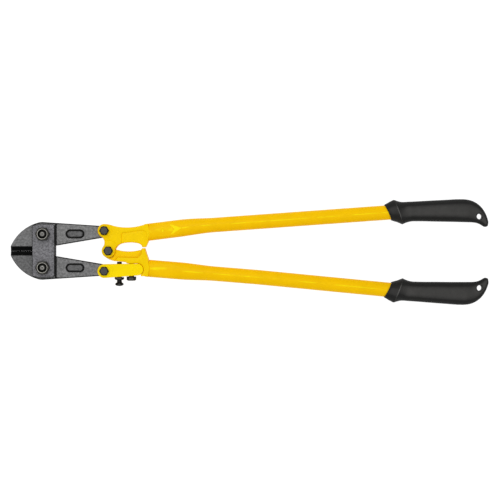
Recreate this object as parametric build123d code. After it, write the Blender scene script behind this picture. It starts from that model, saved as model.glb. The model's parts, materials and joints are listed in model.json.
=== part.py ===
from build123d import *
import math
import os

os.makedirs("parts", exist_ok=True)

# Compound-lever bolt cutters, 36 inch class, closed and lying flat. Millimetres.
# +X runs from the jaws back to the grips, +Y to the upper handle, +Z up from the bench.
# In plan, points are (station, offset): station is measured back from the nose of the jaws.
# Heights of the flat parts are measured from the mid-plane of the tool.

# ---- driving dimensions ----
LENGTH = 914.0
MID = 23.5                     # mid-plane over the bench

JAW_PIVOT = (63.9, 32.0)
LINK_PIVOT = (180.2, 38.5)     # a jaw tail meets its handle here
CENTER_PIVOT = (188.0, 0.0)    # the two forks cross here
KNUCKLE = (243.3, -35.6)       # round end of the adjusting arm
KNUCKLE_R = 11.3
KNUCKLE_GAP = 0.3

JAW_HALF = 7.9                 # half thickness of a jaw body
TANG_HALF = 6.0                # half thickness of a jaw tail
TANG_CENTER = (180.2, 36.6)
TANG_R = 10.8
BEVEL = 9.0                    # width of each cutting bevel
BLADE_END = 50.0
EDGE_GAP = 0.15                # from the centre line to each closed edge
PAD = (123.8, 32.4)            # forged oval on a jaw tail
PAD_LENGTH = 34.4
PAD_WIDTH = 15.7
MOAT = 2.0

STRAP_FRONT = 43.2
STRAP_REAR = 85.5
STRAP_INNER = 8.0
STRAP_OUTER = 14.5

EAR_HALF = 13.0                # half thickness of the forks and the arm
EAR_R = 13.0
TONGUE_HALF = 5.8              # half thickness of the lower fork's web
SLOT_HALF = 6.3                # half width of the clevis slots
LINK_SLOT_R = 14.5
CENTER_SLOT_R = 19.0
PANEL_DEPTH = 1.6

PIVOT_BOLT_R = 8.0             # M16
PIVOT_HEX = 24.0
PIVOT_HEAD = 9.0
PIVOT_NUT = 12.0
LINK_BOLT_R = 5.0              # M10
LINK_HEX = 16.0
LINK_HEAD = 6.4
LINK_NUT = 7.0
WASHER = 1.5
WASHER_R = 10.0
THREAD_END = 1.5               # how far a link bolt stands out of its nut
RECESS = 1.0                   # a jaw bolt ends this far inside its nut
BOLT_POINT = 2.4               # length of the coned end of a jaw bolt
BOLT_POINT_R = 4.2
COUNTERSINK = 1.5              # depth and extra radius of the mouth of a jaw nut
CORNER = 1.8                   # height of the turned corners of a hexagon
FACE_INSET = 1.4               # from its flats to its round end face
RUNNING_GAP = 0.05             # radial, round a pin that something turns on

SCREW_STATION = 208.0
SCREW_TIP = -20.9
SCREW_NECK = -60.4
SCREW_END = -67.2
SCREW_HEAD_R = 8.2
SCREW_CROWN_R = 5.4
BOLT_STATION = 231.0
BOLT_TIP = -12.6
SEAT_GAP = 0.5                 # under the fixing washer, so that the arm can turn a little

SOCKET = 264.0                 # the forgings end and the tubes begin here
SPIGOT_LENGTH = 45.0
TUBE_R = 14.0
TUBE_WALL = 2.0
FRONT_HALF_WIDTH = 16.5        # the front of a tube is pressed to an oval
FRONT_HALF_HEIGHT = 11.0
OVAL_LENGTH = 58.0
ROUND_FROM = 128.0
ROUND_SLACK = 0.002            # keeps the two half sizes of the round end apart by a hair
TUBE_RINGS = 26
COLLAR_LENGTH = 2.4            # end of the forging's collar, square to the tube
TUBE_END = 138.0               # past the grip point
UPPER_ROUTE = ((SOCKET, 35.8), (353.8, 47.0), (714.3, 72.9))   # front, bend, grip point
LOWER_ROUTE = ((SOCKET, -33.3), (472.0, -50.2), (714.3, -73.6))
BEND_RADIUS = 900.0

GRIP_SLACK = 0.1               # radial, between a tube and its grip
COLLAR_R = 23.5
HANG_HOLE = (180.4, -20.2)     # along and across the tube axis from the grip point
HANG_HOLE_R = 5.5
HANG_LAND_R = 9.0
HANG_LAND_HALF = 10.0

UP = (Align.CENTER, Align.CENTER, Align.MIN)


# ---- helpers ----
def at(point):
    """X and Y of a (station, offset) point."""
    return (point[0] - LENGTH / 2, point[1])


def lower(point):
    """The same point on the lower side of the tool."""
    return (point[0], -point[1])


def line(*points):
    return Polyline(*[at(p) for p in points])


def arc(start, through, end):
    return ThreePointArc(at(start), at(through), at(end))


def polygon(*points):
    return make_face(Polyline(*[at(p) for p in points], close=True))


def circle(center, radius):
    return Pos(*at(center)) * Circle(radius)


def plate(face, bottom, top):
    """Flat face thickened between two heights from the mid-plane."""
    return Pos(0, 0, MID + bottom) * extrude(face, amount=top - bottom)


def disc(center, radius, bottom, top):
    """Upright cylinder between two heights from the mid-plane."""
    return plate(circle(center, radius), bottom, top)


def hexagon(across, height):
    """Hexagonal head standing on z = 0, with its upper corners turned off."""
    corner_r = across / math.sqrt(3)
    prism = extrude(RegularPolygon(corner_r, 6), amount=height)
    turned = Cylinder(corner_r, height - CORNER, align=UP)
    turned += Pos(0, 0, height - CORNER) * Cone(corner_r, across / 2 - FACE_INSET, CORNER, align=UP)
    return prism & turned


def upright(center, level):
    x, y = at(center)
    return Pos(x, y, MID + level)


def inverted(center, level):
    return upright(center, level) * Rot(180, 0, 0)


def pointing_down(station, offset):
    """Place along -Y, at the mid-plane, for the adjuster hardware."""
    x, y = at((station, offset))
    return Pos(x, y, MID) * Rot(90, 0, 0)


def save(shape, name):
    export_step(shape, f"parts/{name}.step")


# ---- cutting head ----
def strap(bottom, top):
    """One of the two plates that hold the jaw pivots at a fixed distance."""
    edge = [(STRAP_FRONT, 47.0), (STRAP_FRONT + 1.2, 48.4), (59.4, 51.2),
            (STRAP_REAR - 1.2, 49.9), (STRAP_REAR, 48.8)]
    body = plate(polygon(*edge, *[lower(p) for p in reversed(edge)]), bottom, top)
    for pivot in (JAW_PIVOT, lower(JAW_PIVOT)):
        body -= disc(pivot, PIVOT_BOLT_R + RUNNING_GAP, bottom - 1, top + 1)
    return body


def bevel_cutter(side):
    """Wedge that leaves one face of a double-bevelled cutting edge."""
    low, high = EDGE_GAP - 0.6, side * (JAW_HALF + 1)
    wedge = make_face(Polyline((low, 0), (EDGE_GAP, 0), (BEVEL, side * JAW_HALF), (BEVEL, high),
                               (low, high), close=True))
    reach = BLADE_END + 2.6
    return Pos(-LENGTH / 2 - 1, 0, MID) * extrude(Plane.YZ * wedge, amount=reach)


def tail_cutter(side):
    """Material taken off one face of a jaw, from the ramp behind the strap to the end."""
    face, tail, past = side * JAW_HALF, side * TANG_HALF, side * (JAW_HALF + 1)
    ramp = make_face(Polyline((STRAP_REAR + 2, face), (STRAP_REAR + 12, tail), (210, tail), (210, past),
                              (STRAP_REAR + 2, past), close=True))
    return Pos(-LENGTH / 2, 0, MID) * extrude(Plane.XZ * ramp, amount=80, both=True)


def jaw():
    """Upper jaw: bevelled blade, pivot boss and tapering tail with its tang."""
    outline = line((0.2, EDGE_GAP), (1.0, 8.6))
    outline += arc((1.0, 8.6), (21.0, 36.3), (55.0, 54.6))
    outline += line((55.0, 54.6), (61.0, 55.2), (181.0, 47.3), (181.0, 26.0), (89.1, 10.4), (56.0, 4.9),
                    (BLADE_END + 2, 3.0), (BLADE_END, EDGE_GAP), (0.2, EDGE_GAP))
    body = plate(make_face(outline) + circle(TANG_CENTER, TANG_R), -JAW_HALF, JAW_HALF)
    pad = SlotOverall(PAD_LENGTH, PAD_WIDTH) - SlotOverall(PAD_LENGTH - 2 * MOAT, PAD_WIDTH - 2 * MOAT)
    for side in (1, -1):
        body -= bevel_cutter(side)
        body -= tail_cutter(side)
        body -= upright(PAD, side * TANG_HALF - 1) * extrude(pad, amount=2)
    body -= disc(JAW_PIVOT, PIVOT_BOLT_R + RUNNING_GAP, -10, 10)
    body -= disc(LINK_PIVOT, LINK_BOLT_R + RUNNING_GAP, -10, 10)
    return body


def pivot_bolt(pivot):
    """Jaw bolt with its head under the rear strap."""
    head = inverted(pivot, -STRAP_OUTER) * hexagon(PIVOT_HEX, PIVOT_HEAD)
    shoulder = STRAP_OUTER + PIVOT_NUT - RECESS - BOLT_POINT
    point = upright(pivot, shoulder) * Cone(PIVOT_BOLT_R, BOLT_POINT_R, BOLT_POINT, align=UP)
    return head + disc(pivot, PIVOT_BOLT_R, -STRAP_OUTER, shoulder) + point


def pivot_nut(pivot):
    top = STRAP_OUTER + PIVOT_NUT
    body = upright(pivot, STRAP_OUTER) * hexagon(PIVOT_HEX, PIVOT_NUT)
    mouth = Cone(PIVOT_BOLT_R, PIVOT_BOLT_R + COUNTERSINK, COUNTERSINK, align=UP)
    body -= upright(pivot, top - COUNTERSINK) * mouth
    return body - disc(pivot, PIVOT_BOLT_R, STRAP_OUTER - 1, top + 1)


# ---- hardware of the link pivots and the centre pivot ----
NUT_FACE = -EAR_HALF - WASHER
NUT_END = NUT_FACE - LINK_NUT


def link_bolt(pivot):
    head = upright(pivot, EAR_HALF) * hexagon(LINK_HEX, LINK_HEAD)
    return head + disc(pivot, LINK_BOLT_R, NUT_END - THREAD_END, EAR_HALF)


def link_washer(pivot):
    return disc(pivot, WASHER_R, NUT_FACE, -EAR_HALF) - disc(pivot, LINK_BOLT_R, NUT_FACE - 1, 0)


def link_nut(pivot):
    body = inverted(pivot, NUT_FACE) * hexagon(LINK_HEX, LINK_NUT)
    return body - disc(pivot, LINK_BOLT_R, NUT_END - 1, NUT_FACE + 1)


# ---- handle tubes ----
def tube_path(route):
    """Centre line of a tube in the mid-plane, and the angle of its last run."""
    front, bend, grip = [at(p) for p in route]
    angle = math.atan2(grip[1] - bend[1], grip[0] - bend[0])
    end = (grip[0] + TUBE_END * math.cos(angle), grip[1] + TUBE_END * math.sin(angle))
    path = FilletPolyline(*[(x, y, MID) for x, y in (front, bend, end)], radius=BEND_RADIUS)
    return path, angle


def across(path, distance):
    """Plane square to a path, this far along it, with its first direction level."""
    share = distance / path.length
    along = path % share
    return Plane(origin=path @ share, x_dir=(-along.Y, along.X, 0), z_dir=along)


def half_sizes(distance):
    """Half width and half height of a tube: pressed oval at the front, round further back."""
    share = min(max((distance - OVAL_LENGTH) / (ROUND_FROM - OVAL_LENGTH), 0), 1)
    blend = share * share * (3 - 2 * share)
    width = FRONT_HALF_WIDTH + blend * (TUBE_R - FRONT_HALF_WIDTH)
    height = FRONT_HALF_HEIGHT + blend * (TUBE_R - ROUND_SLACK - FRONT_HALF_HEIGHT)
    return width, height


def tube_solid(route, inset):
    """Outside of a tube, or its bore when inset by the wall."""
    path, _ = tube_path(route)
    rings = []
    for i in range(TUBE_RINGS + 1):
        distance = COLLAR_LENGTH + (path.length - COLLAR_LENGTH) * (i / TUBE_RINGS) ** 1.5
        width, height = half_sizes(distance)
        rings.append(across(path, distance) * Ellipse(width - inset, height - inset))
    return loft(rings)


def tube(route):
    return tube_solid(route, 0) - tube_solid(route, TUBE_WALL)


def spigot(route):
    """Collar of a forging and the oval stub that the tube is pressed on to."""
    path, _ = tube_path(route)
    front = across(path, 0)
    inset = TUBE_WALL + 0.1
    collar = front * Ellipse(FRONT_HALF_WIDTH, FRONT_HALF_HEIGHT)
    stub = front * Ellipse(FRONT_HALF_WIDTH - inset, FRONT_HALF_HEIGHT - inset)
    body = extrude(stub, amount=SPIGOT_LENGTH) + extrude(collar, amount=COLLAR_LENGTH)
    return body + extrude(collar, amount=-6)


# ---- handle forgings ----
def upper_fork():
    """Carries both clevises: one for the upper jaw's tail, one for the lower fork's tongue."""
    outline = arc((178.2, 8.5), (180.4, 16.5), (175.5, 26.4))
    outline += line((175.5, 26.4), (181.5, 51.4), (188.5, 50.6))
    outline += arc((188.5, 50.6), (225.0, 44.8), (257.5, 50.8))
    outline += line((257.5, 50.8), (SOCKET, 52.0), (SOCKET, 18.0))
    outline += arc((SOCKET, 18.0), (261.6, 12.4), (258.8, 6.9))
    outline += line((258.8, 6.9), (252.6, 6.9))
    outline += arc((252.6, 6.9), (249.4, 12.0), (243.5, 14.6))
    outline += arc((243.5, 14.6), (228.0, 16.1), (211.0, 13.4))
    outline += arc((211.0, 13.4), (204.8, 9.0), (200.6, 2.3))
    outline += line((200.6, 2.3), (178.2, 8.5))
    face = make_face(outline) + circle(LINK_PIVOT, EAR_R) + circle(CENTER_PIVOT, EAR_R)
    body = plate(face, -EAR_HALF, EAR_HALF)
    body -= disc(LINK_PIVOT, LINK_SLOT_R, -SLOT_HALF, SLOT_HALF)
    body -= disc(CENTER_PIVOT, CENTER_SLOT_R, -SLOT_HALF, SLOT_HALF)
    for pivot in (LINK_PIVOT, CENTER_PIVOT):
        body -= disc(pivot, LINK_BOLT_R, -EAR_HALF - 1, EAR_HALF + 1)
    panel = polygon((213.0, 0.0), (213.0, 33.5), (253.3, 39.4), (259.4, 35.5), (262.0, 20.0), (262.0, 0.0))
    panel = fillet(panel.vertices(), 3)
    for side in (1, -1):
        face_level = side * EAR_HALF
        body -= plate(panel, face_level - PANEL_DEPTH, face_level + PANEL_DEPTH)
    return body + spigot(UPPER_ROUTE)


def center_slot():
    """Hole in the tongue that leaves the centre bolt room as the linkage opens."""
    room = LINK_BOLT_R + 1.4
    stops = [CENTER_PIVOT, (189.3, -5.4), (191.3, -6.3), (191.3, -3.6)]
    rims = [circle(stop, room).edges() for stop in stops]
    return make_hull([edge for rim in rims for edge in rim])


def lower_fork():
    """Thin web and tongue that run between the upper fork's ears, with a thick rim round them."""
    web = line((188.0, 9.0), (193.0, 7.6), (200.5, 3.0))
    web += arc((200.5, 3.0), (226.0, -1.0), (247.0, 1.6))
    web += line((247.0, 1.6), (256.0, 1.6), (256.0, -16.0), (199.0, -19.3))
    web += arc((199.0, -19.3), (192.2, -17.6), (186.0, -14.6))
    web += line((186.0, -14.6), (181.0, 0.0), (188.0, 9.0))
    tongue = circle(CENTER_PIVOT, 9.0) + circle((189.5, -3.5), 11.5)
    body = plate(make_face(web) + tongue, -TONGUE_HALF, TONGUE_HALF)

    rim = line((252.6, 5.1), (257.6, 5.1))
    rim += arc((257.6, 5.1), (260.4, -4.0), (SOCKET, -14.5))
    rim += line((SOCKET, -14.5), (SOCKET, -50.0), (256.0, -48.3), (249.5, -48.3), (249.5, -35.6),
                (243.3, -24.0), (224.0, -24.15), (220.5, -21.5), (197.6, -19.2))
    rim += arc((197.6, -19.2), (203.0, -15.0), (204.9, -11.6))
    rim += line((204.9, -11.6), (244.0, -12.6), (250.5, -6.0), (250.5, 3.0), (252.6, 5.1))
    body += plate(make_face(rim), -EAR_HALF, EAR_HALF)
    body -= disc(KNUCKLE, KNUCKLE_R + KNUCKLE_GAP, -EAR_HALF - 1, EAR_HALF + 1)
    body -= plate(center_slot(), -EAR_HALF, EAR_HALF)
    body -= pointing_down(BOLT_STATION, BOLT_TIP) * Cylinder(LINK_BOLT_R, 20, align=UP)
    return body + spigot(LOWER_ROUTE)


ARM_FRONT_R = EAR_R + 0.2


def adjusting_arm():
    """Flat bar from the lower link pivot back to the round knuckle."""
    front = lower(LINK_PIVOT)
    bar = polygon((front[0], front[1] + ARM_FRONT_R), (KNUCKLE[0], KNUCKLE[1] + KNUCKLE_R),
                  (KNUCKLE[0], KNUCKLE[1] - KNUCKLE_R), (front[0], front[1] - ARM_FRONT_R))
    body = plate(bar + circle(front, ARM_FRONT_R) + circle(KNUCKLE, KNUCKLE_R), -EAR_HALF, EAR_HALF)
    body -= disc(front, LINK_SLOT_R, -SLOT_HALF, SLOT_HALF)
    body -= disc(front, LINK_BOLT_R, -EAR_HALF - 1, EAR_HALF + 1)
    body -= pointing_down(SCREW_STATION, 0) * Cylinder(LINK_BOLT_R + RUNNING_GAP, 60, align=UP)
    body -= pointing_down(BOLT_STATION, 0) * Cylinder(LINK_BOLT_R + 0.8, 60, align=UP)
    return body


def arm_underside(station):
    """Lowest offset of the arm's lower edge under a nut or washer at this station."""
    share = (station - WASHER_R - LINK_PIVOT[0]) / (KNUCKLE[0] - LINK_PIVOT[0])
    front, rear = -LINK_PIVOT[1] - ARM_FRONT_R, KNUCKLE[1] - KNUCKLE_R
    return front + share * (rear - front)


# ---- adjuster hardware ----
def adjusting_screw():
    flare = (SCREW_NECK - SCREW_END) / 3
    shank = Cylinder(LINK_BOLT_R, SCREW_TIP - SCREW_NECK, align=UP)
    body = pointing_down(SCREW_STATION, SCREW_TIP) * shank
    body += pointing_down(SCREW_STATION, SCREW_NECK) * Cone(LINK_BOLT_R, SCREW_HEAD_R, flare, align=UP)
    body += pointing_down(SCREW_STATION, SCREW_NECK - flare) * Cylinder(SCREW_HEAD_R, flare, align=UP)
    crown = Cone(SCREW_HEAD_R, SCREW_CROWN_R, flare, align=UP)
    return body + pointing_down(SCREW_STATION, SCREW_NECK - 2 * flare) * crown


def lock_nut():
    body = pointing_down(SCREW_STATION, arm_underside(SCREW_STATION)) * hexagon(LINK_HEX, 5.2)
    return body - pointing_down(SCREW_STATION, 0) * Cylinder(LINK_BOLT_R + RUNNING_GAP, 80, align=UP)


def fixing_bolt():
    seat = arm_underside(BOLT_STATION) - SEAT_GAP - WASHER
    body = pointing_down(BOLT_STATION, seat) * hexagon(LINK_HEX, LINK_HEAD)
    return body + pointing_down(BOLT_STATION, BOLT_TIP) * Cylinder(LINK_BOLT_R, BOLT_TIP - seat, align=UP)


def fixing_washer():
    seat = arm_underside(BOLT_STATION) - SEAT_GAP
    body = pointing_down(BOLT_STATION, seat) * Cylinder(WASHER_R - 0.5, WASHER, align=UP)
    return body - pointing_down(BOLT_STATION, 0) * Cylinder(LINK_BOLT_R, 80, align=UP)


# ---- grips ----
def grip_outline():
    """Plan outline of the upper grip: along the tube axis from the grip point, and across it."""
    edge = Polyline((2.0, 16.5), (8.0, 18.0), (13.0, 20.5), (20.0, 23.5), (26.0, 22.5), (34.0, 18.6),
                    (94.0, 16.8), (146.0, 15.6))
    edge += ThreePointArc((146.0, 15.6), (180.0, 4.2), (197.0, -27.0))
    edge += Polyline((197.0, -27.0), (197.4, -34.0), (192.6, -39.4), (187.5, -39.6), (176.5, -33.0),
                     (160.0, -30.0), (50.8, -20.6), (42.0, -21.5), (33.2, -24.6), (26.0, -23.0),
                     (19.0, -18.5), (13.0, -16.5), (2.0, 16.5))
    return make_face(edge)


# distance along the axis, centre across it, half width, half height
GRIP_SECTIONS = [
    (0.0, 0.0, 17.0, 16.5),
    (14.0, 0.5, 22.0, 20.0),
    (24.0, 0.0, 25.0, COLLAR_R),
    (29.0, -0.5, 25.5, COLLAR_R),
    (40.0, -1.5, 23.0, 19.0),
    (54.0, -2.0, 21.0, 17.6),
    (100.0, -4.0, 22.0, 17.4),
    (146.0, -7.0, 24.0, 17.0),
    (168.0, -10.0, 26.0, 14.6),
    (182.0, -13.0, 29.0, 11.6),
    (199.0, -18.0, 31.0, 10.5),
]


def grip(route, side):
    """Moulded sleeve with a collar at the front and a hooked, pierced tail."""
    _, angle = tube_path(route)
    stations = [Plane(origin=(s[0], s[1], 0), x_dir=(0, 1, 0), z_dir=(1, 0, 0)) * Ellipse(s[2], s[3])
                for s in GRIP_SECTIONS]
    body = loft(stations, ruled=True)
    body &= Pos(0, 0, -30) * extrude(grip_outline(), amount=60)
    body -= Rot(0, 90, 0) * Pos(0, 0, -5) * Cylinder(TUBE_R + GRIP_SLACK, TUBE_END + 5, align=UP)
    body -= Pos(*HANG_HOLE, -30) * Cylinder(HANG_HOLE_R, 60, align=UP)
    for turn in (0, 180):
        land = Pos(0, 0, HANG_LAND_HALF) * Cylinder(HANG_LAND_R, 10, align=UP)
        body -= Pos(*HANG_HOLE, 0) * Rot(turn, 0, 0) * land
    if side < 0:
        body = mirror(body, about=Plane.XZ)
    x, y = at(route[2])
    return Pos(x, y, MID) * Rot(0, 0, math.degrees(angle)) * body


# ---- the pieces ----
save(strap(STRAP_INNER, STRAP_OUTER), "front_strap")
save(strap(-STRAP_OUTER, -STRAP_INNER), "rear_strap")

upper_jaw = jaw()
save(upper_jaw, "upper_jaw")
save(mirror(upper_jaw, about=Plane.XZ), "lower_jaw")

for name, pivot in (("upper", JAW_PIVOT), ("lower", lower(JAW_PIVOT))):
    save(pivot_bolt(pivot), f"{name}_pivot_bolt")
    save(pivot_nut(pivot), f"{name}_pivot_nut")

LINKS = {"upper_link": LINK_PIVOT, "lower_link": lower(LINK_PIVOT), "center": CENTER_PIVOT}
for name, pivot in LINKS.items():
    save(link_bolt(pivot), f"{name}_bolt")
    save(link_washer(pivot), f"{name}_washer")
    save(link_nut(pivot), f"{name}_nut")

save(upper_fork(), "upper_fork")
save(lower_fork(), "lower_fork")
save(adjusting_arm(), "adjusting_arm")
save(adjusting_screw(), "adjusting_screw")
save(lock_nut(), "lock_nut")
save(fixing_bolt(), "fixing_bolt")
save(fixing_washer(), "fixing_washer")

for name, route, side in (("upper", UPPER_ROUTE, 1), ("lower", LOWER_ROUTE, -1)):
    save(tube(route), f"{name}_tube")
    save(grip(route, side), f"{name}_grip")
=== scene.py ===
import json
import math

import bmesh
import bpy
import numpy as np
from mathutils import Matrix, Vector


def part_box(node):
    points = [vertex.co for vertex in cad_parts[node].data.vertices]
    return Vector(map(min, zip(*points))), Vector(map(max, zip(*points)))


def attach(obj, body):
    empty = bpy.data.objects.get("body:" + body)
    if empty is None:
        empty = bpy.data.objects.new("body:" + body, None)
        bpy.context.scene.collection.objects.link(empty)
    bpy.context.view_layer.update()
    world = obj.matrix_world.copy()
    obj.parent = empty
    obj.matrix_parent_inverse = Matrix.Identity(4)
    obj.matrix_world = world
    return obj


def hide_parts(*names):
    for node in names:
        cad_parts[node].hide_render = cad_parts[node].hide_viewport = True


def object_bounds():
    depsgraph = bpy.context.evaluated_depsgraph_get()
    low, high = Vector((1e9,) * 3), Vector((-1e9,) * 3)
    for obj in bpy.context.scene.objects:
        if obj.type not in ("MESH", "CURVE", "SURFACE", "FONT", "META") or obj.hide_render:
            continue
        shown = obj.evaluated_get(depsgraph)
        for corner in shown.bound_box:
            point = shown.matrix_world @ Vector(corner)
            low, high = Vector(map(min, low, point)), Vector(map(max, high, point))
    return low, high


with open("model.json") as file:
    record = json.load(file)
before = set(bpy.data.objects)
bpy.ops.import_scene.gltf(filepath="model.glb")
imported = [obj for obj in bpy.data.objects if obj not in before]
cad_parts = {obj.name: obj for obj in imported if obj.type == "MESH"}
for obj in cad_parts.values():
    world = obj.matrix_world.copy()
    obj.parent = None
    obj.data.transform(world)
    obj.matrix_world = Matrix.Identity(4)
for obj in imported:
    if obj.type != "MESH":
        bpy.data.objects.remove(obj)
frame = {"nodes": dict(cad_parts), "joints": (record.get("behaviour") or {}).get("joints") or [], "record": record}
CAD_BOX = [[float(c) for c in corner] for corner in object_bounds()]

# Sizes of the pieces are in millimetres in the tool's own coordinates: station behind the nose,
# offset from the centre line and height from the mid-plane. Meshes are in metres in the CAD frame.
MM = 0.001
WELD = 0.004
JOINTS = {j["name"]: j for j in frame["joints"]}
NOSE_X = CAD_BOX[0][0] / MM - 0.2
MID = JOINTS["upper_jaw_swing"]["pos_m"][2] / MM


def pivot(joint):
    """Station and offset of a joint's axis."""
    x, y, _ = JOINTS[joint]["pos_m"]
    return (x / MM - NOSE_X, y / MM)


def lower(point):
    return (point[0], -point[1])


LINK_PIVOT = pivot("upper_handle_swing")
KNUCKLE = pivot("lower_handle_set")
JAW_HALF = 7.9
TANG_HALF = 6.0
EAR_HALF = 13.0
STRAP_OUTER = 14.5
STRAP_REAR = 85.5
SOCKET = 264.0
BEVEL = 9.0
BLADE_END = 50.0
KNUCKLE_R = 11.3
BODY_OF = {node: body for body, nodes in frame["record"]["behaviour"]["bodies"].items() for node in nodes}


def center_of(node):
    """Station and offset of the middle of a CAD node."""
    low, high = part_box(node)
    return ((low.x + high.x) / 2 / MM - NOSE_X, (low.y + high.y) / 2 / MM)


CENTER = center_of("center_bolt")


# ---- arrays and meshes ----
def to_frame(tool):
    """Metres in the CAD frame from station, offset and height."""
    tool = np.asarray(tool, float)
    return (tool + np.array([NOSE_X, 0.0, MID])) * MM


def to_tool(metres):
    return np.asarray(metres, float) / MM - np.array([NOSE_X, 0.0, MID])


def points_of(mesh):
    flat = np.zeros(len(mesh.vertices) * 3, np.float32)
    mesh.vertices.foreach_get("co", flat)
    return flat.reshape(-1, 3).astype(float)


def set_points(mesh, points):
    mesh.vertices.foreach_set("co", points.astype(np.float32).ravel())
    mesh.update()


def new_object(name, mesh):
    piece = bpy.data.objects.new(name, mesh)
    bpy.context.scene.collection.objects.link(piece)
    return piece


def smooth_shaded(mesh):
    mesh.polygons.foreach_set("use_smooth", [True] * len(mesh.polygons))
    mesh.update()


def applied(piece):
    """Makes the result of a piece's modifiers its own mesh."""
    depsgraph = bpy.context.evaluated_depsgraph_get()
    mesh = bpy.data.meshes.new_from_object(piece.evaluated_get(depsgraph))
    piece.modifiers.clear()
    old = piece.data
    piece.data = mesh
    bpy.data.meshes.remove(old)


def remeshed(piece, voxel):
    step = piece.modifiers.new("voxels", "REMESH")
    step.mode = "VOXEL"
    step.voxel_size = voxel * MM
    applied(piece)


def smoothed(piece, turns, factor=0.5):
    step = piece.modifiers.new("smooth", "SMOOTH")
    step.iterations = turns
    step.factor = factor
    applied(piece)


def copy_of(node, name):
    """New piece that starts as a closed copy of a CAD node's mesh."""
    mesh = frame["nodes"][node].data.copy()
    mesh.materials.clear()
    work = bmesh.new()
    work.from_mesh(mesh)
    bmesh.ops.remove_doubles(work, verts=work.verts, dist=WELD * MM)
    work.to_mesh(mesh)
    work.free()
    return new_object(name, mesh)


# ---- distances in plan, for shaping forged faces ----
def to_segments(points, segments):
    """Shortest distance in plan from each point to any of the straight segments."""
    best = np.full(len(points), 1e9)
    for a, b in segments:
        along = b - a
        share = np.clip(((points - a) @ along) / (along @ along), 0, 1)
        gap = np.linalg.norm(points - a - share[:, None] * along, axis=1)
        best = np.minimum(best, gap)
    return best


def joined(corners, closed=True):
    """Segments between the corners of an outline."""
    corners = [np.array(c, float) for c in corners]
    ends = corners[1:] + corners[:1] if closed else corners[1:]
    return list(zip(corners, ends))


def to_point(points, center):
    return np.linalg.norm(points - np.array(center), axis=1)


def inside(points, outline):
    """Whether each point is inside a closed outline."""
    result = np.zeros(len(points), bool)
    for (x0, y0), (x1, y1) in joined(outline):
        if y0 == y1:
            continue
        crosses = (y0 > points[:, 1]) != (y1 > points[:, 1])
        edge_x = x0 + (points[:, 1] - y0) * (x1 - x0) / (y1 - y0)
        result ^= crosses & (points[:, 0] < edge_x)
    return result


def to_pocket(points, outline):
    """Signed distance to a closed outline: negative inside."""
    gap = to_segments(points, joined(outline))
    return np.where(inside(points, outline), -gap, gap)


def rim_edges(node, keep=lambda place: True):
    """Plan segments along which a CAD node's upper faces meet its side walls."""
    work = bmesh.new()
    work.from_mesh(frame["nodes"][node].data)
    bmesh.ops.remove_doubles(work, verts=work.verts, dist=WELD * MM)
    work.normal_update()
    segments = []
    for edge in work.edges:
        tilts = sorted(face.normal.z for face in edge.link_faces)
        if len(tilts) == 2 and abs(tilts[0]) < 0.4 and tilts[1] > 0.7:
            a, b = [to_tool(vert.co)[:2] for vert in edge.verts]
            if np.linalg.norm(b - a) > 0.01 and keep((a + b) / 2):
                segments.append((a, b))
    work.free()
    return segments


def ramp(values, start, end):
    """Smooth step from 0 at start to 1 at end."""
    share = np.clip((values - start) / (end - start), 0, 1)
    return share * share * (3 - 2 * share)


def rounding(gap, radius):
    """Fall of a face as it rounds over towards an edge this far away."""
    inner = np.clip(radius - gap, 0, radius)
    return radius - np.sqrt(radius * radius - inner * inner)


def valley(distance, half_width, depth):
    """V-shaped groove along the line where distance is 0."""
    return depth * np.clip(1 - np.abs(distance) / half_width, 0, 1)


def forged(node, name, limit, voxel=0.7, finish=2):
    """Piece remade from a CAD node with its faces pressed down to limit(points in plan)."""
    piece = copy_of(node, name)
    remeshed(piece, voxel)
    smoothed(piece, 1)
    tool = to_tool(points_of(piece.data))
    top = limit(tool[:, :2])
    tool[:, 2] = np.sign(tool[:, 2]) * np.minimum(np.abs(tool[:, 2]), top)
    set_points(piece.data, to_frame(tool))
    remeshed(piece, voxel)
    smoothed(piece, finish)
    smooth_shaded(piece.data)
    return piece


def refined(node, name, voxel=0.35, finish=2):
    """Copy of a CAD node with its edges lightly broken."""
    piece = copy_of(node, name)
    remeshed(piece, voxel)
    smoothed(piece, finish)
    smooth_shaded(piece.data)
    return piece


def lofted(name, rings):
    """Closed skin over rings of points in tool coordinates."""
    rings = np.asarray(rings, float)
    count, around, _ = rings.shape
    faces = []
    for i in range(count - 1):
        for j in range(around):
            k = (j + 1) % around
            faces.append((i * around + j, i * around + k, (i + 1) * around + k, (i + 1) * around + j))
    faces.append(tuple(range(around)))
    faces.append(tuple((count - 1) * around + j for j in range(around)))
    mesh = bpy.data.meshes.new(name)
    mesh.from_pydata(to_frame(rings.reshape(-1, 3)).tolist(), [], faces)
    work = bmesh.new()
    work.from_mesh(mesh)
    bmesh.ops.recalc_face_normals(work, faces=work.faces)
    work.to_mesh(mesh)
    work.free()
    smooth_shaded(mesh)
    return new_object(name, mesh)


def turned(name, profile, place, thread=(0.0, 0.0), pitch=1.5, depth=0.55, around=64):
    """Round solid from (axial, radius) points; thread gives the axial range that carries a helix.

    place turns an array of (axial, x, y) into tool coordinates."""
    axial = np.array([p[0] for p in profile], float)
    radius = np.array([p[1] for p in profile], float)
    steps = [axial[0]]
    for a, b in zip(axial[:-1], axial[1:]):
        count = max(1, int(abs(b - a) / (pitch / 8)))
        steps += [a + (b - a) * (i + 1) / count for i in range(count)]
    angle = np.linspace(0, 2 * math.pi, around, endpoint=False)
    rings = []
    for step in steps:
        size = np.interp(step, axial, radius)
        turn = (step / pitch - angle / (2 * math.pi)) % 1
        cut = depth * np.abs(2 * turn - 1) if thread[0] < step < thread[1] else 0 * angle
        reach = size - cut
        ring = np.stack([np.full(around, step), reach * np.cos(angle), reach * np.sin(angle)], axis=1)
        rings.append(place(ring))
    return lofted(name, rings)


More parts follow.
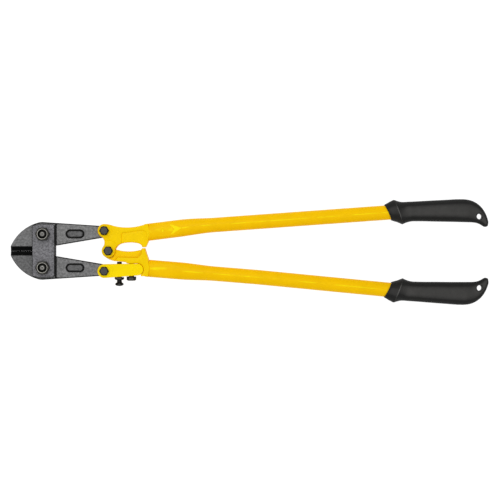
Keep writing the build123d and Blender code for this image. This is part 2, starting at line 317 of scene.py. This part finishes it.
# ---- materials ----
def material(name, color, roughness, metallic=0.0, specular=0.5):
    made = bpy.data.materials.new(name)
    made.use_nodes = True
    shader = made.node_tree.nodes["Principled BSDF"]
    shader.inputs["Base Color"].default_value = (*color, 1)
    shader.inputs["Roughness"].default_value = roughness
    shader.inputs["Metallic"].default_value = metallic
    shader.inputs["Specular IOR Level"].default_value = specular
    return made


def add_noise(made, scale, detail=4.0, roughness=0.6, stretch=(1, 1, 1)):
    """Noise in the object's own coordinates; scale is in features per metre."""
    nodes, links = made.node_tree.nodes, made.node_tree.links
    place = nodes.new("ShaderNodeTexCoord")
    sized = nodes.new("ShaderNodeMapping")
    sized.inputs["Scale"].default_value = stretch
    noise = nodes.new("ShaderNodeTexNoise")
    noise.inputs["Scale"].default_value = scale
    noise.inputs["Detail"].default_value = detail
    noise.inputs["Roughness"].default_value = roughness
    links.new(place.outputs["Object"], sized.inputs["Vector"])
    links.new(sized.outputs["Vector"], noise.inputs["Vector"])
    return noise.outputs["Fac"]


def add_tilt(made):
    """How level the surface is: 1 on faces that look straight up or down, 0 on side walls."""
    nodes, links = made.node_tree.nodes, made.node_tree.links
    geometry = nodes.new("ShaderNodeNewGeometry")
    split = nodes.new("ShaderNodeSeparateXYZ")
    size = nodes.new("ShaderNodeMath")
    size.operation = "ABSOLUTE"
    links.new(geometry.outputs["Normal"], split.inputs["Vector"])
    links.new(split.outputs["Z"], size.inputs[0])
    return size.outputs["Value"]


def add_ring(made, center, radius, half_width):
    """1 on a thin ring round an upright axis, fading to 0 either side of it."""
    nodes, links = made.node_tree.nodes, made.node_tree.links
    x, y, _ = to_frame((*center, 0))
    place = nodes.new("ShaderNodeTexCoord")
    flat = nodes.new("ShaderNodeVectorMath")
    flat.operation = "MULTIPLY"
    flat.inputs[1].default_value = (1, 1, 0)
    reach = nodes.new("ShaderNodeVectorMath")
    reach.operation = "DISTANCE"
    reach.inputs[1].default_value = (x, y, 0)
    links.new(place.outputs["Object"], flat.inputs[0])
    links.new(flat.outputs["Vector"], reach.inputs[0])
    off = add_math(made, "SUBTRACT", reach.outputs["Value"], radius * MM)
    off = add_math(made, "ABSOLUTE", off)
    return add_ramp(made, add_math(made, "DIVIDE", off, 2 * half_width * MM), [(0.3, 1.0), (0.6, 0.0)])


def add_math(made, operation, first, second=None):
    nodes, links = made.node_tree.nodes, made.node_tree.links
    step = nodes.new("ShaderNodeMath")
    step.operation = operation
    links.new(first, step.inputs[0])
    if second is not None:
        step.inputs[1].default_value = second
    return step.outputs["Value"]


def add_ramp(made, source, stops):
    """Colour ramp; stops are (position, grey or colour)."""
    nodes, links = made.node_tree.nodes, made.node_tree.links
    step = nodes.new("ShaderNodeValToRGB")
    elements = step.color_ramp.elements
    while len(elements) < len(stops):
        elements.new(0.5)
    for element, (position, value) in zip(elements, stops):
        element.position = position
        element.color = (*value, 1) if isinstance(value, tuple) else (value, value, value, 1)
    links.new(source, step.inputs["Fac"])
    return step.outputs["Color"]


def add_mix(made, factor, first, second, mode="MIX"):
    nodes, links = made.node_tree.nodes, made.node_tree.links
    mix = nodes.new("ShaderNodeMix")
    mix.data_type = "RGBA"
    mix.blend_type = mode
    for socket, value in ((mix.inputs[0], factor), (mix.inputs[6], first), (mix.inputs[7], second)):
        if isinstance(value, bpy.types.NodeSocket):
            links.new(value, socket)
        elif isinstance(value, tuple):
            socket.default_value = (*value, 1)
        else:
            socket.default_value = value
    return mix.outputs[2]


def add_bump(made, height, distance, under=None):
    nodes, links = made.node_tree.nodes, made.node_tree.links
    bump = nodes.new("ShaderNodeBump")
    bump.inputs["Distance"].default_value = distance * MM
    links.new(height, bump.inputs["Height"])
    if under is not None:
        links.new(under, bump.inputs["Normal"])
    return bump.outputs["Normal"]


def wire(made, socket, name):
    shader = made.node_tree.nodes["Principled BSDF"]
    made.node_tree.links.new(socket, shader.inputs[name])


def yellow_coat(name, face, slope, crown=None):
    """Powder coat over steel: orange-peel skin, with painted shade that changes the tone where the surface turns
    away from straight up, and an optional painted highlight along the crown.
    """
    made = material(name, face, 0.34, specular=0.03)
    tilt = add_tilt(made)
    drift = add_ramp(made, add_noise(made, 40, detail=3), [(0.3, 0.93), (0.7, 1.0)])
    # painted shade: the slope colour goes on surfaces that turn away from straight up
    tone = add_ramp(made, tilt, [(0.35, slope), (0.93, face)])
    if crown:
        # painted highlight: the crown colour in patchy streaks where the surface faces straight up
        patches = add_noise(made, 24, detail=2, stretch=(1, 3, 3))
        patchy = add_ramp(made, patches, [(0.42, 0.05), (0.60, 1.0)])
        ridge = add_ramp(made, tilt, [(0.9965, 0.0), (1.0, 1.0)])
        tone = add_mix(made, add_mix(made, 1.0, ridge, patchy, "MULTIPLY"), tone, crown)
    peel = add_noise(made, 900, detail=2)
    fine = add_noise(made, 2600, detail=2)
    wire(made, add_mix(made, 1.0, tone, drift, "MULTIPLY"), "Base Color")
    wire(made, add_ramp(made, peel, [(0.3, 0.28), (0.7, 0.42)]), "Roughness")
    wire(made, add_bump(made, fine, 0.02, under=add_bump(made, peel, 0.05)), "Normal")
    return made


def add_along(made, start, end, first, last):
    """Colour that goes from first to last between two stations."""
    nodes, links = made.node_tree.nodes, made.node_tree.links
    place = nodes.new("ShaderNodeTexCoord")
    split = nodes.new("ShaderNodeSeparateXYZ")
    links.new(place.outputs["Object"], split.inputs["Vector"])
    low, high = (start + NOSE_X) * MM, (end + NOSE_X) * MM
    share = add_math(made, "DIVIDE", add_math(made, "SUBTRACT", split.outputs["X"], low), high - low)
    return add_ramp(made, share, [(0.0, first), (1.0, last)])


def dark_steel(name, face, slope, roughness, contrast=0.25, fleck=0.0, level=(0.80, 0.97), tail=None):
    """Phosphated or oxide-black steel: grainy grey faces, with painted shade that takes the slopes to near black.
    """
    made = material(name, face, roughness, metallic=0.2, specular=0.1)
    grain = add_noise(made, 1100, detail=5, roughness=0.7)
    cloud = add_noise(made, 260, detail=4, roughness=0.65)
    shade = add_mix(made, 0.6, add_ramp(made, grain, [(0.36, 1 - contrast), (0.64, 1 + contrast)]),
                    add_ramp(made, cloud, [(0.36, 1 - contrast), (0.64, 1 + contrast)]))
    if tail:
        face = add_along(made, STRAP_REAR - 40, STRAP_REAR + 10, face, tail)
    # painted shade: the slope colour goes on surfaces that turn away from straight up
    flatness = add_ramp(made, add_tilt(made), [(level[0], 0.0), (level[1], 1.0)])
    tone = add_mix(made, flatness, slope, face)
    tone = add_mix(made, 1.0, tone, shade, "MULTIPLY")
    if fleck:
        marks = add_noise(made, 420, detail=6, roughness=0.8, stretch=(1.6, 0.5, 1))
        tone = add_mix(made, 1.0, tone, add_ramp(made, marks, [(0.60, 1.0), (0.70, 1 - fleck)]), "MULTIPLY")
    pits = add_noise(made, 700, detail=6, roughness=0.75)
    wire(made, tone, "Base Color")
    wire(made, add_ramp(made, grain, [(0.3, roughness + 0.12), (0.7, roughness - 0.06)]), "Roughness")
    wire(made, add_bump(made, pits, 0.12), "Normal")
    return made


def nut_steel(name, center):
    """Jaw nut: olive grey end face, flanks painted near black as shade, and a painted highlight ring where they
    meet.
    """
    made = dark_steel(name, (0.050, 0.048, 0.042), (0.008, 0.008, 0.008), 0.45, level=(0.60, 0.93))
    socket = made.node_tree.nodes["Principled BSDF"].inputs["Base Color"]
    tone = socket.links[0].from_socket
    # painted highlight: a bright ring on the chamfer round the nut's end face
    wire(made, add_mix(made, add_ring(made, center, 9.4, 0.45), tone, (0.50, 0.49, 0.45)), "Base Color")
    return made


def grip_rubber(name, highlight_gain):
    """Moulded rubber: satin black with a fine grain, and painted light that makes the faces that look up greyer
    and the sides darker.
    """
    made = material(name, (0.03, 0.03, 0.03), 0.5, specular=0.1)
    grain = add_noise(made, 1900, detail=3)
    cloud = add_ramp(made, add_noise(made, 60, detail=3), [(0.3, 0.88 * highlight_gain), (0.7, 1.1 * highlight_gain)])
    # painted light: lighter on faces that look up, darker on the sides
    tone = add_ramp(made, add_tilt(made), [(0.40, (0.007, 0.007, 0.0065)), (0.88, (0.016, 0.016, 0.0155)),
                                           (0.992, (0.050, 0.049, 0.047))])
    wire(made, add_mix(made, 1.0, tone, cloud, "MULTIPLY"), "Base Color")
    wire(made, add_ramp(made, grain, [(0.3, 0.46), (0.7, 0.60)]), "Roughness")
    wire(made, add_bump(made, grain, 0.08), "Normal")
    return made


JAW_FACE = (0.156, 0.156, 0.157)
# painted shade colour for the slopes and side walls of the jaws, pads and straps
STEEL_SLOPE_SHADE = (0.012, 0.012, 0.012)
# painted shade: the second colour of each yellow_coat below goes on the slopes and side walls
ARM_YELLOW = yellow_coat("arm_yellow", (1.0, 0.74, 0.0015), (0.92, 0.50, 0.001))
FORK_YELLOW = yellow_coat("fork_yellow", (0.96, 0.64, 0.0015), (0.92, 0.46, 0.001))
# painted highlight: the third colour is the streak along the top of the tubes
TUBE_YELLOW = yellow_coat("tube_yellow", (0.95, 0.565, 0.001), (0.98, 0.54, 0.001), (1.0, 0.78, 0.004))
# painted highlight for the arrow facet and the punch mark on the upper tube
LIT_YELLOW = yellow_coat("lit_yellow", (1.0, 0.80, 0.005), (1.0, 0.80, 0.005))
UPPER_STEEL = dark_steel("upper_jaw_steel", JAW_FACE, STEEL_SLOPE_SHADE, 0.5, contrast=0.5,
                         tail=(0.182, 0.182, 0.182))
LOWER_STEEL = dark_steel("lower_jaw_steel", (0.122, 0.122, 0.123), STEEL_SLOPE_SHADE, 0.5, contrast=0.5,
                         tail=(0.180, 0.180, 0.181))
# painted shade: near black for the bevel along the cutting edge
BEVEL_SHADE_STEEL = dark_steel("bevel_shade_steel", (0.004, 0.004, 0.004), (0.003, 0.003, 0.003), 0.45, contrast=0.5)
# painted shade: near black for the strap groove, the pad's groove and the line along the tail edges
GROOVE_SHADE_STEEL = dark_steel("groove_shade_steel", (0.014, 0.014, 0.014), (0.006, 0.006, 0.006), 0.55)
PAD_STEEL = dark_steel("pad_steel", (0.112, 0.112, 0.113), STEEL_SLOPE_SHADE, 0.5, contrast=0.5)
STRAP_STEEL = dark_steel("strap_steel", (0.165, 0.163, 0.173), STEEL_SLOPE_SHADE, 0.46, contrast=0.7, fleck=0.6)
OXIDE = dark_steel("black_oxide", (0.066, 0.065, 0.062), (0.007, 0.007, 0.006), 0.4, level=(0.88, 0.985))
BOLT_END = dark_steel("bolt_end_steel", (0.22, 0.215, 0.2), (0.010, 0.010, 0.010), 0.4, level=(0.80, 0.99))
RUBBER = grip_rubber("grip_rubber", 1.0)
# painted highlight: the crest line of each grip's collar is made brighter
CREST_HIGHLIGHT_RUBBER = grip_rubber("crest_highlight_rubber", 2.4)


def finished(piece, made, node):
    """Gives a piece its material and the body of the CAD node that it stands for, and hides that node."""
    piece.data.materials.clear()
    piece.data.materials.append(made)
    piece.data.polygons.foreach_set("material_index", np.zeros(len(piece.data.polygons), np.int32))
    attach(piece, BODY_OF[node])
    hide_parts(node)


def also_made(piece, made, chosen):
    """Puts a further material on the faces that chosen(their middles in tool coordinates) picks."""
    faces = piece.data.polygons
    piece.data.materials.append(made)
    middles = np.zeros(len(faces) * 3, np.float32)
    faces.foreach_get("center", middles)
    slots = np.zeros(len(faces), np.int32)
    faces.foreach_get("material_index", slots)
    slots[chosen(to_tool(middles.reshape(-1, 3)))] = len(piece.data.materials) - 1
    faces.foreach_set("material_index", slots)
    piece.data.update()


# ---- jaws ----
PAD = (123.8, 32.4)
PAD_STRAIGHT = 9.4             # from the middle of the pad to the centres of its round ends
PAD_GROOVE = 6.9               # from that line to the middle of the groove
TAIL_EDGE = 0.9                # width of the painted shade line along the edges of a tail
STRAP_GROOVE = STRAP_REAR + 1.9
EDGE_BAND = 3.5                # from the centre line, the strip of blade that true_edge stretches
EDGE_WORN = 1.3                # where the remeshing leaves the edge
EDGE_SEAM = 0.03               # from the centre line to each closed edge


def pad_reach(plan):
    """Distance from the line between the centres of the pad's round ends."""
    away = np.abs(plan - np.array(PAD))
    return np.hypot(np.maximum(away[:, 0] - PAD_STRAIGHT, 0), away[:, 1])


def jaw_limit(node, side):
    edges = rim_edges(node, lambda place: to_point(place[None], (PAD[0], PAD[1] * side))[0] > 20)

    def limit(points):
        plan = points * np.array([1.0, side])
        station = plan[:, 0]
        top = JAW_HALF - (JAW_HALF - TANG_HALF) * ramp(station, 88.5, 98)
        strapped = ramp(station, 40, 47) * ramp(station, 96, 88) * ramp(plan[:, 1], 30, 40)
        width = 0.8 + 1.0 * ramp(station, 86, 92) + 1.8 * strapped
        chamfer = np.clip(width - to_segments(points, edges), 0, None) * 1.1
        grooves = valley(pad_reach(plan) - PAD_GROOVE, 1.6, 1.8) + valley(station - STRAP_GROOVE, 2.0, 1.6)
        return top - chamfer - grooves
    return limit


def true_edge(piece, side):
    """Brings the cutting edge back to its line after the remeshing has worn it down."""
    tool = to_tool(points_of(piece.data))
    reach = tool[:, 1] * side
    blade = (tool[:, 0] < BLADE_END - 1) & (reach < EDGE_BAND)
    moved = EDGE_SEAM + (reach - EDGE_WORN) * (EDGE_BAND - EDGE_SEAM) / (EDGE_BAND - EDGE_WORN)
    tool[:, 1] = np.where(blade, side * np.maximum(moved, EDGE_SEAM), tool[:, 1])
    set_points(piece.data, to_frame(tool))


def make_jaw(node, side, steel):
    piece = forged(node, node + "_forging", jaw_limit(node, side))
    true_edge(piece, side)
    finished(piece, steel, node)

    # painted shade: the bevel along the cutting edge takes the near black colour
    def shaded_bevel(middles):
        return (middles[:, 0] < BLADE_END + 2) & (np.abs(middles[:, 1]) < BEVEL - 0.1)

    edges = rim_edges(node)

    # painted shade in the grooves and along the tail edges
    def shaded_grooves(middles):
        plan = middles[:, :2] * np.array([1.0, side])
        in_groove = np.abs(plan[:, 0] - STRAP_GROOVE) < 1.6
        tail = (plan[:, 0] > STRAP_REAR + 5) & (plan[:, 0] < 175)
        rim = tail & (to_segments(middles[:, :2], edges) < TAIL_EDGE)
        return in_groove | rim | (np.abs(pad_reach(plan) - PAD_GROOVE) < 1.1)

    def padded(middles):
        return pad_reach(middles[:, :2] * np.array([1.0, side])) < PAD_GROOVE - 1.1
    also_made(piece, PAD_STEEL, padded)
    also_made(piece, GROOVE_SHADE_STEEL, shaded_grooves)
    also_made(piece, BEVEL_SHADE_STEEL, shaded_bevel)


make_jaw("upper_jaw", 1, UPPER_STEEL)
make_jaw("lower_jaw", -1, LOWER_STEEL)


# ---- straps and their bolts ----
def make_strap(node):
    edges = rim_edges(node)

    def limit(points):
        gap = to_segments(points, edges)
        return STRAP_OUTER - np.clip(1.1 - gap, 0, None) * 0.8
    piece = forged(node, node + "_plate", limit)
    finished(piece, STRAP_STEEL, node)


def make_pivot_bolt(node):
    """Jaw bolt whose end is a shallow dome with a centre dimple."""
    piece = refined(node, node + "_turned")
    middle = center_of(node)
    tool = to_tool(points_of(piece.data))
    reach = to_point(tool[:, :2], middle)
    end = tool[:, 2] > tool[:, 2].max() - 1.2
    dome = 0.7 * (1 - (reach / 4.4) ** 2) - 1.1 * np.exp(-((reach / 1.1) ** 2))
    tool[:, 2] += np.where(end & (reach < 4.4), dome, 0)
    set_points(piece.data, to_frame(tool))
    finished(piece, OXIDE, node)
    also_made(piece, BOLT_END, lambda at: (at[:, 2] > 0) & (to_point(at[:, :2], middle) < 4.6))


for node in ("front_strap", "rear_strap"):
    make_strap(node)
for node in ("upper_pivot_bolt", "lower_pivot_bolt"):
    make_pivot_bolt(node)
for node in ("upper_pivot_nut", "lower_pivot_nut"):
    steel = nut_steel(node + "_steel", center_of(node))
    finished(refined(node, node + "_turned"), steel, node)

# ---- link, centre and adjuster hardware ----
for name in ("upper_link", "lower_link", "center"):
    for part in ("bolt", "washer", "nut"):
        node = name + "_" + part
        finished(refined(node, node + "_turned"), OXIDE, node)
for node in ("lock_nut", "fixing_bolt", "fixing_washer"):
    finished(refined(node, node + "_turned"), OXIDE, node)


def make_adjusting_screw():
    """Threaded screw with a flared, domed head, turned about a line across the tool."""
    low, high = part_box("adjusting_screw")
    station = center_of("adjusting_screw")[0]
    tip, end = high.y / MM, low.y / MM
    head_r = (high.x - low.x) / 2 / MM

    def place(ring):
        return np.stack([station + ring[:, 1], ring[:, 0], ring[:, 2]], axis=1)
    profile = [(end, 2.6), (end + 0.5, 4.9), (end + 1.5, head_r - 1.2), (end + 2.6, head_r - 0.15),
               (end + 4.4, head_r), (end + 5.0, head_r - 0.6), (end + 6.8, 5.3), (end + 7.4, 4.95),
               (tip - 1.2, 4.95), (tip, 3.9)]
    piece = turned("adjusting_screw_turned", profile, place, thread=(end + 7.6, tip - 1.0))
    finished(piece, OXIDE, "adjusting_screw")


make_adjusting_screw()


# ---- handle forgings ----
def draft(gap):
    """Rounded edge and the slight crown of a forged face."""
    return rounding(gap, 1.6) + 0.5 * np.clip(1 - gap / 6, 0, 1) ** 2


def upper_fork_limit():
    edges = rim_edges("upper_fork", lambda place: place[0] < SOCKET - 1)
    panel = [(213.0, 0.0), (213.0, 33.5), (253.3, 39.4), (259.4, 35.5), (262.0, 20.0), (262.0, 0.0)]

    def limit(points):
        station = points[:, 0]
        ears = np.minimum(to_point(points, LINK_PIVOT), to_point(points, CENTER))
        boss = 0.5 * ramp(ears, 11.4, 13.2)
        waist = 0.9 * ramp(station, 192, 206)
        recess = 1.5 * ramp(to_pocket(points, panel), 0.9, -0.9)
        collar = 1.2 * ramp(station, 254, 262)
        edge = draft(to_segments(points, edges)) * ramp(station, 262, 254)
        return EAR_HALF - boss - waist - recess - collar - edge
    return limit


def lower_fork_limit():
    edges = rim_edges("lower_fork", lambda place: place[0] < SOCKET - 1)

    def limit(points):
        gap = to_segments(points, edges)
        socket = 0.7 * ramp(to_point(points, KNUCKLE), KNUCKLE_R + 3.6, KNUCKLE_R + 2.4)
        collar = 1.6 * ramp(points[:, 0], 253, 262)
        return EAR_HALF - socket - collar - draft(gap)
    return limit


def arm_limit():
    edges = rim_edges("adjusting_arm")

    def limit(points):
        gap = to_segments(points, edges)
        knuckle = to_point(points, KNUCKLE)
        ring = valley(knuckle - 7.2, 1.2, 0.7) + valley(knuckle - 3.8, 1.2, 0.5)
        boss = 0.4 * ramp(to_point(points, lower(LINK_PIVOT)), 11.6, 13.2)
        return EAR_HALF - rounding(gap, 1.3) - ring - boss
    return limit


for node, limit, made in (("upper_fork", upper_fork_limit(), FORK_YELLOW),
                          ("lower_fork", lower_fork_limit(), FORK_YELLOW),
                          ("adjusting_arm", arm_limit(), ARM_YELLOW)):
    finished(forged(node, node + "_forging", limit), made, node)


# ---- tubes ----
TUBE_R = 14.0
FRONT_HALF_WIDTH = 16.5
FRONT_HALF_HEIGHT = 11.0
OVAL_LENGTH = 58.0
ROUND_FROM = 128.0
COLLAR_LENGTH = 2.4
PRESSED = 47.0                 # length of the flats where the oval is pressed
RUNOUT = 0.18                  # slope on which the flats rise back to the round tube
FLAT_CROWN = 1.6               # fall of the flats from their middle to the sides of the tube
TUBE_END = 138.0               # past the grip point
UPPER_ROUTE = ((SOCKET, 35.8), (353.8, 47.0), (714.3, 72.9))   # front, bend, grip point
LOWER_ROUTE = ((SOCKET, -33.3), (472.0, -50.2), (714.3, -73.6))
BEND_RADIUS = 900.0
ARROW_NOTCH = 50.0             # the painted highlight on the facet where the upper tube's flat runs out
ARROW_TIP = 65.0
DIMPLE = 28.0                  # punch mark across the upper tube


def tube_line(route):
    """Function from a distance along a tube to its point and its direction in plan, and its length."""
    front, bend, grip = [np.array(p) for p in route]
    first = (bend - front) / np.linalg.norm(bend - front)
    last = (grip - bend) / np.linalg.norm(grip - bend)
    turn = math.acos(float(first @ last))
    tangent = BEND_RADIUS * math.tan(turn / 2)
    lead = float(np.linalg.norm(bend - front)) - tangent
    length = lead + 2 * tangent + float(np.linalg.norm(grip - bend)) - tangent + TUBE_END

    def at(distance):
        if distance < lead:
            return front + first * distance, first
        if distance > lead + 2 * tangent:
            return bend + last * (distance - lead - tangent), last
        t = (distance - lead) / (2 * tangent)
        start, end = bend - first * tangent, bend + last * tangent
        spot = (1 - t) ** 2 * start + 2 * t * (1 - t) * bend + t * t * end
        way = (1 - t) * first + t * last
        return spot, way / np.linalg.norm(way)
    return at, length


def flat_level(distance):
    return FRONT_HALF_HEIGHT + RUNOUT * max(0.0, distance - PRESSED)


def tube_ring(distance, around=72):
    """Across and up coordinates of a tube's section, pressed flat at the front."""
    blend = ramp(distance, OVAL_LENGTH, ROUND_FROM)
    width = FRONT_HALF_WIDTH + blend * (TUBE_R - FRONT_HALF_WIDTH)
    height = FRONT_HALF_HEIGHT + ramp(distance, COLLAR_LENGTH, 30) * (TUBE_R - FRONT_HALF_HEIGHT)
    angle = np.linspace(0, 2 * math.pi, around, endpoint=False)
    across, up = width * np.cos(angle), height * np.sin(angle)
    level, tall = flat_level(distance) - FLAT_CROWN * (across / TUBE_R) ** 2, np.abs(up)
    pressed = 0.5 * (tall + level - np.sqrt((tall - level) ** 2 + 0.25))
    return across, np.sign(up) * np.maximum(pressed, 0)


def make_tube(name, route, marked):
    at, length = tube_line(route)
    steps = [COLLAR_LENGTH + (length - COLLAR_LENGTH) * (i / 260) ** 1.5 for i in range(261)]
    rings = []
    for distance in steps:
        spot, way = at(distance)
        across, up = tube_ring(distance)
        if marked:
            mark = np.exp(-(((distance - DIMPLE) / 1.2) ** 2)) * np.clip(1 - (across / 4.5) ** 4, 0, 1)
            up = up - np.where(up > 0, 0.9 * mark, 0)
        side = np.array([-way[1], way[0]])
        rings.append(np.column_stack([spot + across[:, None] * side, up]))
    piece = lofted(name + "_handle_tube", rings)
    finished(piece, TUBE_YELLOW, name + "_tube")

    # painted highlight: the arrow facet and the punch mark take the light yellow
    def lit(middles):
        first, way = at(0.0)
        away = middles[:, :2] - first
        distance, across = away @ way, np.abs(away @ np.array([-way[1], way[0]]))
        arrow = (distance > ARROW_NOTCH - 0.8 * across) & (distance < ARROW_TIP - 2.3 * across)
        mark = (np.abs(distance - DIMPLE) < 1.2) & (across < 3.4)
        return (middles[:, 2] > 0) & (arrow | mark)
    if marked:
        also_made(piece, LIT_YELLOW, lit)


make_tube("upper", UPPER_ROUTE, True)
make_tube("lower", LOWER_ROUTE, False)


# ---- grips ----
# Rows of the upper grip, front to back: (along, across) of its outer side and of its inner side,
# from the grip point, and half thickness. The collar comes first, up to the crest.
COLLAR_ROWS = [(1.0, 15.2, 12.6, -15.6, 15.6), (6.0, 17.4, 16.5, -17.2, 17.6),
               (12.0, 20.3, 23.0, -19.5, 20.0), (20.0, 23.5, 33.2, -24.7, 23.4)]
BODY_ROWS = [(20.0, 23.5, 33.2, -24.7, 23.4), (27.0, 20.6, 41.0, -21.9, 20.5),
             (34.0, 18.5, 49.5, -20.4, 18.3), (50.0, 17.8, 61.0, -20.8, 17.6),
             (94.0, 16.9, 100.0, -24.2, 17.3), (123.0, 16.3, 125.0, -26.4, 17.2),
             (146.0, 15.6, 146.0, -28.4, 16.6), (158.0, 14.3, 156.0, -29.4, 15.4),
             (169.0, 11.0, 164.0, -30.2, 13.4), (180.0, 4.0, 170.5, -31.2, 11.6),
             (188.0, -5.0, 176.0, -32.7, 10.8), (193.4, -15.5, 181.0, -35.2, 10.4),
             (196.4, -25.5, 185.5, -38.2, 10.0), (197.4, -32.0, 188.6, -40.4, 8.8),
             (196.0, -39.2, 191.8, -41.0, 5.5)]
CREST = (COLLAR_ROWS[-1][0:2], COLLAR_ROWS[-1][2:4])
HANG_HOLE = (180.4, -20.2)
HANG_HOLE_R = 5.5
HOLE_RIM = 10.4                # height of the hole's rim over the mid-plane
HOLE_FLARE = 1.2               # how far inside the rim the hole begins to widen
BORE_CLEARANCE = 0.05          # radial, between a grip and its tube
FEW_RINGS = 80.0               # pitch that gives a plain turned solid only the rings that it needs
SECTION_POWER = 2 / 2.3        # between an ellipse and a rounded box


def smooth_rows(rows, steps):
    """Rows with smooth curves through them, this many steps from each to the next."""
    rows = np.array(rows, float)
    middle = (rows[:, 0:2] + rows[:, 2:4]) / 2
    gaps = np.linalg.norm(np.diff(middle, axis=0), axis=1)
    rates = np.diff(rows, axis=0) / gaps[:, None]
    slopes = np.vstack([rates[:1], (rates[:-1] * gaps[1:, None] + rates[1:] * gaps[:-1, None])
                        / (gaps[1:] + gaps[:-1])[:, None], rates[-1:]])
    result = []
    for i, gap in enumerate(gaps):
        for t in np.arange(steps) / steps:
            first = (2 * t**3 - 3 * t**2 + 1) * rows[i] + (t**3 - 2 * t**2 + t) * gap * slopes[i]
            result.append(first + (3 * t**2 - 2 * t**3) * rows[i + 1] + (t**3 - t**2) * gap * slopes[i + 1])
    result.append(rows[-1])
    return result


def grip_frame(route, side):
    """Function from (along, across, up) at the grip point to tool coordinates."""
    _, bend, grip = [np.array(p) for p in route]
    way = (grip - bend) / np.linalg.norm(grip - bend)
    across = np.array([-way[1], way[0]]) * side

    def place(points):
        points = np.asarray(points, float)
        return np.column_stack([grip + points[:, :1] * way + points[:, 1:2] * across, points[:, 2]])
    return place


def grip_ring(row, around=72):
    outer, inner, half = np.array(row[0:2]), np.array(row[2:4]), row[4]
    angle = np.linspace(0, 2 * math.pi, around, endpoint=False)
    swing = np.sign(np.cos(angle)) * np.abs(np.cos(angle)) ** SECTION_POWER
    lift = np.sign(np.sin(angle)) * np.abs(np.sin(angle)) ** SECTION_POWER
    plan = (outer + inner) / 2 + swing[:, None] * (outer - inner) / 2
    return np.column_stack([plan, half * lift])


def cut_away(piece, cutter):
    step = piece.modifiers.new("cut", "BOOLEAN")
    step.operation = "DIFFERENCE"
    step.solver = "EXACT"
    step.object = cutter
    applied(piece)
    bpy.data.objects.remove(cutter)


def make_grip(name, route, side):
    place = grip_frame(route, side)
    rows = smooth_rows(COLLAR_ROWS, 6)[:-1] + smooth_rows(BODY_ROWS, 8)
    piece = lofted(name + "_grip_sleeve", [place(grip_ring(row)) for row in rows])
    bore_r = TUBE_R + BORE_CLEARANCE
    bore = turned("bore", [(-8.0, bore_r), (TUBE_END, bore_r)], place, pitch=FEW_RINGS)
    cut_away(piece, bore)

    def upright(ring):
        return place(np.column_stack([ring[:, 1] + HANG_HOLE[0], ring[:, 2] + HANG_HOLE[1], ring[:, 0]]))
    throat = HOLE_RIM - HOLE_FLARE
    hole = turned("hole", [(-30.0, 9.0), (-HOLE_RIM, 6.5), (-throat, HANG_HOLE_R), (throat, HANG_HOLE_R),
                           (HOLE_RIM, 6.5), (30.0, 9.0)], upright, pitch=FEW_RINGS)
    cut_away(piece, hole)
    remeshed(piece, 0.75)
    smoothed(piece, 4)
    smooth_shaded(piece.data)
    finished(piece, RUBBER, name + "_grip")
    crest = [place([(*end, 0.0)])[0, :2] for end in CREST]
    # painted highlight along the crest line of the collar
    also_made(piece, CREST_HIGHLIGHT_RUBBER, lambda at: (to_segments(at[:, :2], [crest]) < 0.5) & (at[:, 2] > 12))


make_grip("upper", UPPER_ROUTE, 1)
make_grip("lower", LOWER_ROUTE, -1)


# ---- floor, light and camera ----
def floor():
    mesh = bpy.data.meshes.new("floor")
    reach = 6.0
    mesh.from_pydata([(-reach, -reach, 0), (reach, -reach, 0), (reach, reach, 0), (-reach, reach, 0)], [],
                     [(0, 1, 2, 3)])
    piece = new_object("floor", mesh)
    piece.location.z = CAD_BOX[0][2] - 0.3 * MM
    made = material("floor_paper", (0.2, 0.2, 0.2), 0.9, specular=0.0)
    shader = made.node_tree.nodes["Principled BSDF"]
    shader.inputs["Emission Color"].default_value = (1, 1, 1, 1)
    shader.inputs["Emission Strength"].default_value = 0.95
    mesh.materials.append(made)


def area_light(name, place, size, power):
    data = bpy.data.lights.new(name, "AREA")
    data.size = size
    data.energy = power
    lamp = bpy.data.objects.new(name, data)
    lamp.location = place
    aim = Vector((0, 0, 0)) - Vector(place)
    lamp.rotation_euler = aim.to_track_quat("-Z", "Y").to_euler()
    bpy.context.scene.collection.objects.link(lamp)


floor()
area_light("key", (-0.6, 0.8, 2.2), 1.4, 21)
area_light("fill", (0.8, -0.8, 2.2), 1.6, 10)
world = bpy.data.worlds.new("studio")
world.use_nodes = True
world.node_tree.nodes["Background"].inputs["Color"].default_value = (1, 1, 1, 1)
world.node_tree.nodes["Background"].inputs["Strength"].default_value = 0.55
bpy.context.scene.world = world
bpy.context.scene.view_settings.view_transform = "Standard"

CAMERA_HEIGHT = 2.657
camera_data = bpy.data.cameras.new("camera")
camera_data.lens = 100
camera_data.sensor_width = 36
camera_data.clip_end = 50
camera = bpy.data.objects.new("camera", camera_data)
camera.location = (0.0008, 0.0017, MID * MM + CAMERA_HEIGHT)
bpy.context.scene.collection.objects.link(camera)
bpy.context.scene.camera = camera
